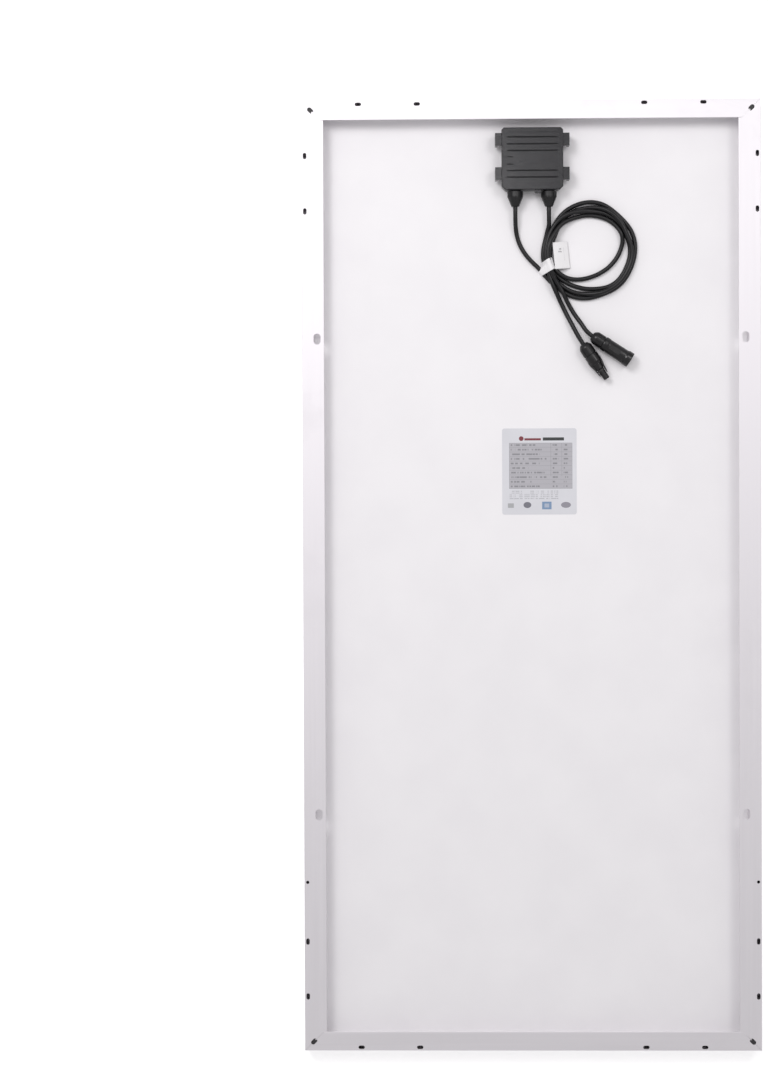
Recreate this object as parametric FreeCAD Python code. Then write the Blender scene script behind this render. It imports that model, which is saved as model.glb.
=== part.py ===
"""Framed solar panel, lying face down: glass towards the ground, junction box and leads on top.

Origin: centre of the front face of the frame. +Z is up, out of the back; the length runs along Y and the
junction box is at the +Y end. Millimetres.
"""
import FreeCAD, Part
import math
import os

V = FreeCAD.Vector

# ---- driving dimensions ----
WIDTH = 580.0
LENGTH = 1205.0
DEPTH = 30.0

# frame section, measured inwards from its outer face
WALL = 1.4
LIP = 8.9
CHAMBER = 14.0
SHELF_Z = 6.6
LONG_FLANGE = 28.0
SHORT_FLANGE = 24.0
EDGE_RADIUS = 0.6
MITRE_GAP = 0.12

# holes in the back flange
SLOT_WIDTH = 9.0
SLOT_LENGTH = 14.0
SLOT_INSET = 19.0
SLOT_SPACING = 604.0
DRAIN_WIDTH = 4.5
DRAIN_LENGTH = 8.0
DRAIN_INSET = 4.2
LONG_DRAINS = (463.5, 533.5)
SHORT_DRAINS = (143.5, 218.0)
EARTH_RADIUS = 2.0
EARTH_Y = -388.0
CORNER_HOLE_INSET = 11.6
CORNER_HOLE_WIDTH = 5.6
CORNER_HOLE_LENGTH = 9.0

# corner keys
KEY_ARM = 42.0
KEY_GAP = 0.25

# laminate, from the glass upwards
EDGE_INSET = 2.0
GLASS_Z = 1.5
GLASS = 3.2
FRONT_SHEET = 0.3
RIBBON = 0.15
CELL = 0.2
REAR_SHEET = 0.45
BACKSHEET = 0.35
FRONT_SHEET_Z = GLASS_Z + GLASS
RIBBON_Z = FRONT_SHEET_Z + FRONT_SHEET
CELL_Z = RIBBON_Z + RIBBON
REAR_SHEET_Z = CELL_Z + CELL
BACKSHEET_Z = REAR_SHEET_Z + REAR_SHEET
BACK_Z = BACKSHEET_Z + BACKSHEET

# cells: half-cut, in three columns
COLUMNS = 3
ROWS = 12
CELL_WIDTH = 182.0
CELL_LENGTH = 91.0
CELL_GAP = 2.0
CELL_CHAMFER = 7.4
RIBBONS_PER_CELL = 10
RIBBON_WIDTH = 0.8
BUS_WIDTH = 5.0
BUS_GAP = 2.0
BUS_OFFSET = 16.0
SLIT_Y = 560.0
SLIT_WIDTH = 3.0

# rating label
LABEL_CENTRE = (11.2, 133.5)
LABEL_SIZE = (95.0, 110.0)
LABEL = 0.15

# junction box
BOX_X = 2.4
BOX_Y = 528.9
BOX_WIDTH = 78.0
BOX_LENGTH = 78.8
BOX_END = BOX_Y - BOX_LENGTH / 2
BASE_INSET = 1.0
BEAD = 0.7
BASE_Z = BACK_Z + BEAD
BASE_TOP = 24.2
LID_TOP = 28.6
BOX_WALL = 2.2
TOP_CHAMFER = 3.0
LOW_CHAMFER = 4.5
LATCH_Y = (553.3, 510.2)
LATCH_LENGTH = 16.0
LATCH_REACH = 47.0
CATCH_LENGTH = 8.0
TERMINAL_PITCH = 22.0
TERMINAL_Z = BASE_Z + 3.5
FIELD_X = 33.0
FIELD_Y = (499.6, 562.8)
GROOVE_X = 31.8
GROOVE_WIDTH = 2.0
LID_GROOVES = (556.2, 547.4, 539.0, 513.8, 505.4)
NOTCH_WIDTH = 1.4
LID_NOTCHES = (531.3, 521.9)
TAB_X = (2.8, 10.2)
TAB_START = 484.6
POST_Y = (523.0, 548.0)

# glands and leads
CABLE = 5.6
CORE = 2.8
GLAND_SPREAD = 21.3
GLAND_Z = 16.7
NECK_RADIUS = 7.2
NECK_BORE = 5.0
NECK_END = 482.6
NUT_END = 469.5
NUT_LENGTH = 19.3
NUT_RADIUS = 10.0
RUNNING_FIT = 0.06

# connectors: end of the cable, heading in degrees, height of the axis
SOCKET_END = (66.9, 295.0)
SOCKET_HEADING = -55.8
SOCKET_Z = 15.2
PIN_END = (78.1, 305.4)
PIN_HEADING = -33.0
PIN_Z = 16.2
CONNECTOR_NUT = 16.6
CONNECTOR_NUT_RADIUS = 8.5

# coil of the two leads, and what ties it
COIL_OUTER_CENTRE = (74.55, 414.2)
COIL_OUTER_RADIUS = 64.2
COIL_INNER_CENTRE = (72.25, 419.0)
COIL_INNER_RADIUS = 40.5
COIL_HEIGHT = 11.4
COIL_ROUNDING = 2.6
RING_CENTRE = (75.6, 415.0)
TIE_ANGLE = 201.0
TIE_LENGTH = 15.0
TIE_THICKNESS = 0.5
TIE_INNER = (48.0, 69.6)
TIE_HEIGHT = 16.4
TAG_SIZE = (34.0, 22.0)
TAG = 0.35
TAG_HEIGHT = 11.0
TAG_LEAN = 26.0
TAG_TURN = 15.0


def behind(end, heading, distance, height):
    """The point on a connector's axis that lies a distance behind its cable end."""
    turn = math.radians(heading)
    return (end[0] - distance * math.cos(turn), end[1] - distance * math.sin(turn), height)


# routes of the leads, chosen by hand: gland to coil, and coil to connector
LEFT_LEAD = [
    (-18.9, 469.5, GLAND_Z),
    (-18.9, 457.5, GLAND_Z),
    (-18.6, 446.4, 13.4),
    (-17.4, 435.6, 9.9),
    (-14.1, 424.0, 9.0),
    (-7.9, 412.2, 9.1),
    (0.9, 401.6, 9.0),
    (10.5, 392.8, 9.1),
    (18.7, 383.2, 9.2),
]
RIGHT_LEAD = [
    (23.7, 469.5, GLAND_Z),
    (23.7, 457.5, GLAND_Z),
    (24.2, 445.8, 13.3),
]
LEFT_TAIL = [
    (29.9, 369.2, 13.4),
    (35.3, 356.5, 10.2),
    (41.0, 343.8, 9.0),
    (47.3, 330.8, 9.8),
    (54.0, 317.8, 13.2),
    behind(SOCKET_END, SOCKET_HEADING, 9.5, SOCKET_Z),
    (*SOCKET_END, SOCKET_Z),
]
RIGHT_TAIL = [
    (41.5, 361.2, 13.2),
    (47.5, 347.0, 10.2),
    (53.8, 334.0, 10.2),
    (60.1, 321.6, 14.6),
    behind(PIN_END, PIN_HEADING, 12.0, PIN_Z),
    (*PIN_END, PIN_Z),
]


# ---- helpers ----
def box(low, high):
    size = [b - a for a, b in zip(low, high)]
    return Part.makeBox(*size, V(*low))


def prism(points, z0, z1):
    corners = [V(x, y, z0) for x, y in points]
    return Part.Face(Part.makePolygon(corners + corners[:1])).extrude(V(0, 0, z1 - z0))


def rounded_prism(points, z0, z1, radius):
    """A prism with its upright edges rounded."""
    solid = prism(points, z0, z1)
    upright = [e for e in solid.Edges if abs(e.Vertexes[0].Z - e.Vertexes[1].Z) > 1e-6]
    return solid.makeFillet(radius, upright)


def rounded_plate(x, y, z0, z1, radius):
    """A flat block between two X and two Y values, its upright edges rounded."""
    (x0, x1), (y0, y1) = x, y
    return rounded_prism([(x0, y0), (x1, y0), (x1, y1), (x0, y1)], z0, z1, radius)


def obround(centre, length, width, z0, z1, angle=0.0):
    """A slot-shaped plug, its long way at angle from X."""
    half = (length - width) / 2
    middle = box((-half, -width / 2, z0), (half, width / 2, z1))
    ends = [Part.makeCylinder(width / 2, z1 - z0, V(x, 0, z0)) for x in (-half, half)]
    plug = middle.fuse(ends).removeSplitter()
    plug.rotate(V(), V(0, 0, 1), angle)
    plug.translate(V(*centre, 0))
    return plug


def turned(profile):
    """A solid turned about the X axis from (along, radius) points."""
    points = [V(s, r, 0) for s, r in profile]
    face = Part.Face(Part.makePolygon(points + points[:1]))
    return face.revolve(V(), V(1, 0, 0), 360)


def sleeve(s0, s1, outer, inner):
    return turned([(s0, inner), (s1, inner), (s1, outer), (s0, outer)])


def placed(shape, point, heading):
    """Moves a shape made along X so that its start is at point and it runs at heading degrees."""
    moved = shape.copy()
    moved.rotate(V(), V(0, 0, 1), heading)
    moved.translate(V(*point))
    return moved


def save(name, shape):
    solids = shape.Solids
    (solids[0] if len(solids) == 1 else Part.makeCompound(solids)).exportStep(f"parts/{name}.step")


# ---- frame ----
def section(flange):
    """The rail's section as (inset, height) points: wall, lip, glass groove, chamber and back flange."""
    outside = [(0, 0), (LIP, 0), (LIP, WALL), (WALL, WALL), (WALL, SHELF_Z), (CHAMBER, SHELF_Z),
               (CHAMBER, DEPTH - WALL), (flange, DEPTH - WALL), (flange, DEPTH), (0, DEPTH)]
    hollow = [(WALL, SHELF_Z + WALL), (CHAMBER - WALL, SHELF_Z + WALL),
              (CHAMBER - WALL, DEPTH - WALL), (WALL, DEPTH - WALL)]
    return outside, hollow


def bar(flange, length):
    """A length of rail along Y, its outer face at X = 0 and its flange towards +X."""
    outside, hollow = section(flange)
    start = V(0, -length / 2, 0)
    loops = [[V(w, 0, z) + start for w, z in loop] for loop in (outside, hollow)]
    solids = [Part.Face(Part.makePolygon(p + p[:1])).extrude(V(0, length, 0)) for p in loops]
    rail = solids[0].cut(solids[1])
    seen = ((0, 0), (0, DEPTH), (flange, DEPTH), (flange, DEPTH - WALL), (LIP, 0), (LIP, WALL))

    def is_seen(edge):
        a, b = (v.Point for v in edge.Vertexes)
        same = abs(a.x - b.x) + abs(a.z - b.z) < 1e-6
        return same and any(abs(a.x - w) + abs(a.z - z) < 1e-6 for w, z in seen)

    return rail.makeFillet(EDGE_RADIUS, [e for e in rail.Edges if is_seen(e)])


def corner_holes():
    """Plugs for the obround hole across each mitre."""
    x = WIDTH / 2 - CORNER_HOLE_INSET
    y = LENGTH / 2 - CORNER_HOLE_INSET
    size = (CORNER_HOLE_LENGTH, CORNER_HOLE_WIDTH, DEPTH - 2 * WALL, DEPTH + 1)
    return [obround((i * x, j * y), *size, i * j * 45) for i in (-1, 1) for j in (-1, 1)]


def long_rail():
    """The rail on the -X side, mitred at both ends."""
    rail = bar(LONG_FLANGE, LENGTH)
    rail.translate(V(-WIDTH / 2, 0, 0))
    x, y, s = WIDTH / 2, LENGTH / 2 - MITRE_GAP, SHORT_FLANGE
    keep = [(-x - 1, y + 1), (-x + s, y - s), (-x + LONG_FLANGE + 1, y - s),
            (-x + LONG_FLANGE + 1, s - y), (-x + s, s - y), (-x - 1, -y - 1)]
    rail = rail.common(prism(keep, -1, DEPTH + 1))
    through = (DEPTH - 1.5 * WALL, DEPTH + 1)
    slots = [obround((SLOT_INSET - x, y), SLOT_LENGTH, SLOT_WIDTH, *through, 90)
             for y in (-SLOT_SPACING / 2, SLOT_SPACING / 2)]
    drains = [obround((DRAIN_INSET - x, j * drain), DRAIN_LENGTH, DRAIN_WIDTH, *through, 90)
              for drain in LONG_DRAINS for j in (-1, 1)]
    earth = Part.makeCylinder(EARTH_RADIUS, 4, V(DRAIN_INSET - x, EARTH_Y, DEPTH - 2))
    return rail.cut(slots + drains + [earth] + corner_holes())


def short_rail():
    """The rail on the +Y side, mitred at both ends."""
    rail = bar(SHORT_FLANGE, WIDTH)
    rail.rotate(V(), V(0, 0, 1), -90)
    rail.translate(V(0, LENGTH / 2, 0))
    x, y, s = WIDTH / 2 - MITRE_GAP, LENGTH / 2, SHORT_FLANGE
    keep = [(-x - 1, y + 1), (x + 1, y + 1), (x - s, y - s), (s - x, y - s)]
    rail = rail.common(prism(keep, -1, DEPTH + 1))
    through = (DEPTH - 1.5 * WALL, DEPTH + 1)
    drains = [obround((i * drain, y - DRAIN_INSET), DRAIN_LENGTH, DRAIN_WIDTH, *through)
              for drain in SHORT_DRAINS for i in (-1, 1)]
    return rail.cut(drains + corner_holes())


def corner_key(i, j):
    """An angle bracket that fills the chambers of two rails where they meet."""
    near, far = WALL + KEY_GAP, CHAMBER - WALL - KEY_GAP
    x, y = WIDTH / 2, LENGTH / 2
    outline = [(near, near), (KEY_ARM, near), (KEY_ARM, far), (far, far), (far, KEY_ARM), (near, KEY_ARM)]
    corner = [(i * (x - a), j * (y - b)) for a, b in outline]
    return prism(corner, SHELF_Z + WALL + KEY_GAP, DEPTH - WALL - KEY_GAP)


def plate(inset, z0, z1):
    """A sheet over the whole panel, its edge inset from the frame's outer face."""
    x, y = WIDTH / 2 - inset, LENGTH / 2 - inset
    return box((-x, -y, z0), (x, y, z1))


def edge_sealant():
    """Silicone round the laminate's edge, and between the backsheet and the frame's shelf."""
    edge = plate(WALL, WALL, BACK_Z).cut(plate(EDGE_INSET, 0, DEPTH))
    top = plate(WALL, BACK_Z, SHELF_Z).cut(plate(CHAMBER - 1, 0, DEPTH))
    return edge.fuse(top).removeSplitter()


def build_frame():
    left = long_rail()
    save("long_rail_left", left)
    save("long_rail_right", left.mirror(V(), V(1, 0, 0)))
    top = short_rail()
    save("short_rail_top", top)
    save("short_rail_bottom", top.mirror(V(), V(0, 1, 0)))
    save("corner_keys", Part.makeCompound([corner_key(i, j) for i in (-1, 1) for j in (-1, 1)]))
    save("edge_sealant", edge_sealant())


# ---- laminate ----
PITCH_X = CELL_WIDTH + CELL_GAP
PITCH_Y = CELL_LENGTH + CELL_GAP
STRING_LENGTH = ROWS * PITCH_Y - CELL_GAP


def column_x(column):
    return (column - (COLUMNS - 1) / 2) * PITCH_X


def cell(column, row):
    """A half-cut cell: two corners keep the bevel of the round ingot."""
    x, y = column_x(column), (row - (ROWS - 1) / 2) * PITCH_Y
    a, b, c = CELL_WIDTH / 2, CELL_LENGTH / 2, CELL_CHAMFER
    side = 1 if row % 2 else -1
    outline = [(-a, -b), (a, -b), (a, b - c), (a - c, b), (c - a, b), (-a, b - c)]
    return prism([(x + px, y + side * py) for px, py in outline], CELL_Z, CELL_Z + CELL)


def cell_ribbons():
    """Thin solder-coated wires down each column, from one bus to the other."""
    reach = STRING_LENGTH / 2 + BUS_OFFSET
    pitch = CELL_WIDTH / RIBBONS_PER_CELL
    half = RIBBON_WIDTH / 2
    made = []
    for column in range(COLUMNS):
        top = reach if column == 0 else reach - BUS_WIDTH - BUS_GAP
        for k in range(RIBBONS_PER_CELL):
            x = column_x(column) + (k - (RIBBONS_PER_CELL - 1) / 2) * pitch
            made.append(box((x - half, -reach, RIBBON_Z), (x + half, top, CELL_Z)))
    return made


def bus_ribbons():
    """Flat copper across the string ends, one back along the margin, and three tails up into the box."""
    half = CELL_WIDTH / 2
    low, high = CELL_Z, CELL_Z + CELL
    far = STRING_LENGTH / 2 + BUS_OFFSET
    near = far - BUS_WIDTH
    step = BUS_WIDTH + BUS_GAP
    left, middle, right = (column_x(c) for c in range(COLUMNS))
    margin = right + half + CELL_GAP + 1.0
    first_tail = BOX_X - TERMINAL_PITCH + 2
    last_tail = BOX_X + TERMINAL_PITCH - 2
    return [
        box((left - half, near, low), (first_tail, far, high)),
        box((left - half, -far, low), (middle + half, -near, high)),
        box((right - half, -far, low), (margin + BUS_WIDTH, -near, high)),
        box((margin, -near, low), (margin + BUS_WIDTH, far + step, high)),
        box((last_tail, near + step, low), (margin, far + step, high)),
        box((middle - half, near - step, low), (right + half, far - step, high)),
    ]


def ribbon_tail(x):
    """A ribbon that stands up through the backsheet and folds over the terminal."""
    low = BACK_Z + 0.1
    top = TERMINAL_Z + 1.0
    upright = box((x - 2, SLIT_Y - 0.15, low), (x + 2, SLIT_Y + 0.15, top + 0.3))
    fold = box((x - 2, SLIT_Y - 12, top), (x + 2, SLIT_Y + 0.15, top + 0.3))
    return upright.fuse(fold).removeSplitter()


def build_laminate():
    save("glass_pane", plate(EDGE_INSET, GLASS_Z, FRONT_SHEET_Z))
    save("front_encapsulant", plate(EDGE_INSET, FRONT_SHEET_Z, RIBBON_Z))
    save("cell_ribbons", Part.makeCompound(cell_ribbons()))
    save("solar_cells", Part.makeCompound([cell(c, r) for c in range(COLUMNS) for r in range(ROWS)]))
    save("bus_ribbons", Part.makeCompound(bus_ribbons()))
    save("rear_encapsulant", plate(EDGE_INSET, REAR_SHEET_Z, BACKSHEET_Z))
    save("backsheet", plate(EDGE_INSET, BACKSHEET_Z, BACK_Z))
    x, y = [(middle - size / 2, middle + size / 2) for middle, size in zip(LABEL_CENTRE, LABEL_SIZE)]
    save("rating_label", rounded_plate(x, y, BACK_Z, BACK_Z + LABEL, 3.0))


# ---- junction box ----
def box_outline(inset):
    """The box's outline: small bevels at the top end, large ones at the gland end."""
    a, b = BOX_WIDTH / 2 - inset, BOX_LENGTH / 2 - inset
    top, low = TOP_CHAMFER, LOW_CHAMFER
    right = [(a - top, b), (a, b - top), (a, low - b), (a - low, -b)]
    left = [(-x, y) for x, y in reversed(right)]
    return [(BOX_X + x, BOX_Y + y) for x, y in right + left]


def gland_x(side):
    return BOX_X + side * GLAND_SPREAD


def gland_places():
    return [gland_x(-1), gland_x(1)]


def terminal_places():
    return [BOX_X + k * TERMINAL_PITCH for k in (-1, 0, 1)]


def catches():
    """Wedge-shaped catches on the base's sides, one in the window of each latch arm."""
    made = []
    for side in (-1, 1):
        x = BOX_X + side * (BOX_WIDTH / 2 - BASE_INSET)
        wedge = [(-1.0, 14.6), (4.2, 14.6), (4.2, 15.8), (-1.0, 18.6)]
        for y in LATCH_Y:
            profile = [V(x + side * out, y - CATCH_LENGTH / 2, z) for out, z in wedge]
            made.append(Part.Face(Part.makePolygon(profile + profile[:1])).extrude(V(0, CATCH_LENGTH, 0)))
    return made


def box_base():
    """The box's lower shell, with two threaded necks, catches, posts and a slot for the ribbons."""
    outer, inner = BASE_INSET, BASE_INSET + BOX_WALL
    shell = prism(box_outline(outer), BASE_Z, BASE_TOP)
    shell = shell.cut(prism(box_outline(inner), BASE_Z + BOX_WALL, BASE_TOP + 1))
    wall = BOX_END + outer
    axis = V(0, 1, 0)
    necks, bores = [], []
    for x in gland_places():
        necks.append(Part.makeCylinder(NECK_RADIUS, wall + 1 - NECK_END, V(x, NECK_END, GLAND_Z), axis))
        bores.append(Part.makeCylinder(NECK_BORE, wall + 5 - NECK_END, V(x, NECK_END - 1, GLAND_Z), axis))
    posts = []
    for x in terminal_places():
        posts += [box((x - 5, y - 3, BASE_Z), (x + 5, y + 3, TERMINAL_Z)) for y in POST_Y]
    body = shell.fuse(necks + catches() + posts).removeSplitter()
    half = SLIT_WIDTH / 2
    slot = box((BOX_X - 28, SLIT_Y - half, BASE_Z - 1), (BOX_X + 28, SLIT_Y + half, BASE_Z + 3))
    top_cut = prism(box_outline(outer + BOX_WALL / 2), BASE_TOP - 1.0, BASE_TOP + 1)
    ledge = top_cut.cut(prism(box_outline(inner + 1), BASE_TOP - 2, BASE_TOP + 2))
    return body.cut(bores + [slot, ledge])


def latch_arm(side, y):
    """An arm beside the box, with a window for the catch."""
    wall = BOX_X + side * BOX_WIDTH / 2
    outer = BOX_X + side * LATCH_REACH
    low, high = sorted((wall - side, outer))
    half = LATCH_LENGTH / 2
    top = box((low, y - half, LID_TOP - 4.0), (high, y + half, LID_TOP - 1.3))
    low, high = sorted((outer - side * 3.2, outer))
    arm = box((low, y - half, LID_TOP - 15.6), (high, y + half, LID_TOP - 1.3))
    window = box((low - 1, y - 5, LID_TOP - 14.4), (high + 1, y + 5, LID_TOP - 8.5))
    return top.fuse(arm).cut(window)


def lid_groove(y, width, reach, depth):
    """A groove across the lid from its left side; a negative reach gives a short notch of that length."""
    left = BOX_X - GROOVE_X
    right = BOX_X + reach if reach > 0 else left - reach
    return box((left, y - width / 2, LID_TOP - depth), (right, y + width / 2, LID_TOP))


def box_lid():
    """The snap-on lid: raised rim, slatted field and latch arms."""
    lid = prism(box_outline(0), BASE_TOP + 0.3, LID_TOP)
    top_edges = [e for e in lid.Edges if min(v.Z for v in e.Vertexes) > LID_TOP - 0.01]
    lid = lid.makeFillet(1.2, top_edges)
    hollow = prism(box_outline(BASE_INSET + BOX_WALL), BASE_TOP - 1, LID_TOP - 3.0)
    field = rounded_plate((BOX_X - FIELD_X, BOX_X + FIELD_X), FIELD_Y, LID_TOP - 0.9, LID_TOP + 1, 3.0)
    grooves = [lid_groove(y, GROOVE_WIDTH, GROOVE_X, 1.8) for y in LID_GROOVES]
    notches = [lid_groove(y, NOTCH_WIDTH, 24.0 - GROOVE_X, 1.5) for y in LID_NOTCHES]
    arms = [latch_arm(side, y) for side in (-1, 1) for y in LATCH_Y]
    return lid.fuse(arms).cut([hollow, field] + grooves + notches).removeSplitter()


def lid_tab():
    """The finger tab welded to the lid's lower edge, beside a gland."""
    x = [BOX_X + reach for reach in TAB_X]
    tab = rounded_plate(x, (TAB_START, BOX_END + 3.0), LID_TOP - 3.7, LID_TOP - 1.3, 1.2)
    return tab.common(box((x[0] - 1, TAB_START - 1, 0), (x[1] + 1, BOX_END, LID_TOP)))


def lid_gasket():
    """A square-section seal in the step round the base's mouth."""
    step = BASE_INSET + BOX_WALL / 2
    ring = prism(box_outline(step + 0.05), BASE_TOP - 0.95, BASE_TOP + 0.25)
    return ring.cut(prism(box_outline(BASE_INSET + BOX_WALL - 0.05), BASE_TOP - 2, BASE_TOP + 2))


def terminal(k):
    """A tinned copper plate on two posts; the outer two rise to carry a lead's core."""
    x = BOX_X + k * TERMINAL_PITCH
    strip = box((x - 4.5, 517.0, TERMINAL_Z), (x + 4.5, 553.0, TERMINAL_Z + 1.0))
    if k == 0:
        return strip
    top = GLAND_Z - CORE / 2
    riser = box((x - 4.5, 517.0, TERMINAL_Z), (x + 4.5, 518.0, top))
    ear = box((x - 4.5, 508.5, top - 1.0), (x + 4.5, 518.0, top))
    return strip.fuse([riser, ear]).removeSplitter()


def bypass_diode(k):
    """An axial diode between two terminals: round body, two straight leads."""
    body = turned([(-4.2, 0), (-4.2, 2.7), (-3.7, 3.2), (3.7, 3.2), (4.2, 2.7), (4.2, 0)])
    leads = [turned([(a, 0), (a, 0.6), (b, 0.6), (b, 0)]) for a, b in ((-9.0, -4.2), (4.2, 9.0))]
    feet = [box((a - 0.5, -0.5, -3.4), (a + 0.5, 0.5, 0.3)) for a in (-8.5, 8.5)]
    whole = body.fuse(leads + feet).removeSplitter()
    return placed(whole, (BOX_X + k * TERMINAL_PITCH / 2, 535.0, TERMINAL_Z + 1.0 + 3.4), 0)


def cable_clamp(k):
    """The saddle that holds a lead's core down on its terminal."""
    x, low, high = gland_x(k), GLAND_Z - CORE / 2, GLAND_Z + CORE / 2
    legs = [box((x + a, 509.5, low), (x + a + 1.2, 514.5, high + 0.1)) for a in (-2.8, 1.6)]
    top = box((x - 2.8, 509.5, high + 0.02), (x + 2.8, 514.5, high + 1.2))
    return top.fuse(legs).removeSplitter()


def clamp_screw(k):
    """The cross-head screw on top of a clamp."""
    x, z = gland_x(k), GLAND_Z + CORE / 2 + 1.2
    head = Part.makeCylinder(2.4, 1.8, V(x, 512, z))
    head = head.makeFillet(0.4, [e for e in head.Edges if e.BoundBox.ZMin > z + 1.7])
    cross = [box((x - a, 512 - b, z + 0.9), (x + a, 512 + b, z + 2)) for a, b in ((1.7, 0.3), (0.3, 1.7))]
    return head.cut(cross)


def adhesive_bead():
    ring = prism(box_outline(0.4), BACK_Z, BASE_Z)
    return ring.cut(prism(box_outline(7), BACK_Z - 1, BASE_Z + 1))


def ribbed(nut, radius, s0, s1, count, depth):
    """Cuts lengthwise grooves round a turned nut."""
    cuts = []
    for k in range(count):
        groove = box((s0, -0.55, radius - depth), (s1, 0.55, radius + 2))
        groove.rotate(V(), V(1, 0, 0), 360 / count * (k + 0.5))
        cuts.append(groove)
    return nut.cut(cuts)


def gland_nut():
    """The dome nut, from its cable end at 0: it tapers to the cable and is grooved for the fingers."""
    neck = NECK_RADIUS + RUNNING_FIT
    end = NUT_LENGTH
    wide = NUT_RADIUS
    outside = [(0, 4.6), (1.2, 5.4), (10.5, 9.2), (12.5, wide), (end - 0.8, wide), (end, wide - 0.7)]
    nut = turned([(0, 3.4)] + outside + [(end, neck), (10.4, neck), (8.0, 3.4)])
    return ribbed(nut, wide, 11.0, end - 1.6, 16, 0.8)


def gland_seal():
    """The rubber sleeve that the nut squeezes round the cable, inside the neck."""
    return sleeve(11.2, 23.0, NECK_BORE - RUNNING_FIT, CABLE / 2 + RUNNING_FIT)


def build_box():
    save("box_base", box_base())
    save("box_lid", box_lid())
    save("lid_tab", lid_tab())
    save("lid_gasket", lid_gasket())
    save("box_adhesive", adhesive_bead())
    save("terminals", Part.makeCompound([terminal(k) for k in (-1, 0, 1)]))
    save("bypass_diodes", Part.makeCompound([bypass_diode(k) for k in (-1, 1)]))
    save("cable_clamps", Part.makeCompound([cable_clamp(k) for k in (-1, 1)]))
    save("clamp_screws", Part.makeCompound([clamp_screw(k) for k in (-1, 1)]))
    save("ribbon_tails", Part.makeCompound([ribbon_tail(x) for x in terminal_places()]))
    for name, x in zip(("left", "right"), gland_places()):
        start = (x, NUT_END, GLAND_Z)
        save(f"gland_nut_{name}", placed(gland_nut(), start, 90))
        save(f"gland_seal_{name}", placed(gland_seal(), start, 90))


# ---- connectors ----
def connector_nut():
    """The cap nut at the cable's end of a connector."""
    end = CONNECTOR_NUT
    inside = 6.9 + RUNNING_FIT
    wide = CONNECTOR_NUT_RADIUS
    outside = [(0, 4.6), (1.0, 5.8), (3.8, 7.8), (5.8, wide), (end - 0.6, wide), (end, wide - 0.5)]
    nut = turned([(0, 3.3)] + outside + [(end, inside), (4.4, inside), (3.2, 3.3)])
    return ribbed(nut, wide, 6.0, end - 1.6, 12, 0.7)


def connector_seal():
    return sleeve(7.4, 17.0, 5.4 - RUNNING_FIT, CABLE / 2 + RUNNING_FIT)


def connector_back():
    """What both housings share: the threaded neck and a collar."""
    return [(4.9, 5.4), (18.0, 5.4), (18.0, 3.6), (30.0, 3.6)], [(17.0, 8.6), (17.0, 6.9), (4.9, 6.9)]


def socket_body():
    """The housing with a slim probe and a sprung finger on each side of it."""
    inner, outer = connector_back()
    inner = inner[:3] + [(47.5, 3.6), (47.5, 2.1), (53.5, 2.1)]
    front = [(53.5, 3.4), (53.0, 3.9), (39.0, 4.1), (38.0, 5.6), (31.0, 6.0), (29.5, 7.6), (27.0, 8.6)]
    body = turned(inner + front + outer)
    fingers = []
    for side in (-1, 1):
        plan = [(24.0, 7.0), (24.0, 8.9), (30.0, 8.5), (37.0, 6.9), (44.0, 6.1), (46.5, 5.3), (46.5, 4.9),
                (41.8, 4.9), (41.8, 5.5), (33.0, 5.6)]
        fingers.append(prism([(s, side * r) for s, r in plan], -2.4, 2.4))
    return body.fuse(fingers).removeSplitter()


def pin_body():
    """The housing with a round mouth, and a window on each side where the fingers snap in."""
    inner, outer = connector_back()
    inner = inner[:3] + [(36.0, 3.6), (36.0, 7.2), (57.9, 7.2)]
    front = [(57.9, 9.2), (57.3, 9.8), (51.5, 9.8), (49.5, 9.0), (24.0, 8.8), (22.5, 9.2), (18.5, 9.2)]
    body = turned(inner + front + outer)
    windows = [box((44.0, y, -2.6), (49.0, y + 5, 2.6)) for y in (-11, 6)]
    grips = [box((26.0, -9.5, z), (41.0, 9.5, z + 0.9)) for z in (8.3, -9.2)]
    return body.cut(windows + grips)


def probe_ring():
    """The rubber ring round the probe's root."""
    return turned([(39.3, 4.12), (41.3, 4.12), (41.3, 4.9), (40.8, 5.2), (39.8, 5.2), (39.3, 4.9)])


def contact(s0, s1, tip):
    """A turned contact: crimp barrel round the core, collar, and a slim front."""
    crimp = s0 + 8.0
    barrel = sleeve(s0, crimp, 3.0, CORE / 2)
    collar = [(crimp, 0), (crimp, 3.3), (crimp + 2, 3.3), (crimp + 2, tip)]
    front = turned(collar + [(s1 - 1, tip), (s1, tip * 0.6), (s1, 0)])
    return barrel.fuse(front).removeSplitter()


def build_connectors():
    socket_at = (*SOCKET_END, SOCKET_Z)
    pin_at = (*PIN_END, PIN_Z)
    for name, at, heading in (("socket", socket_at, SOCKET_HEADING), ("pin", pin_at, PIN_HEADING)):
        save(f"{name}_connector_nut", placed(connector_nut(), at, heading))
        save(f"{name}_connector_seal", placed(connector_seal(), at, heading))
    save("socket_connector_body", placed(socket_body(), socket_at, SOCKET_HEADING))
    save("pin_connector_body", placed(pin_body(), pin_at, PIN_HEADING))
    save("probe_ring", placed(probe_ring(), socket_at, SOCKET_HEADING))
    sleeve_front = contact(22.0, 47.0, 3.0).cut(turned([(36, 0), (48, 0), (48, 1.9), (36, 1.9)]))
    save("socket_contact", placed(sleeve_front, socket_at, SOCKET_HEADING))
    save("pin_contact", placed(contact(22.0, 54.0, 1.9), pin_at, PIN_HEADING))


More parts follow.
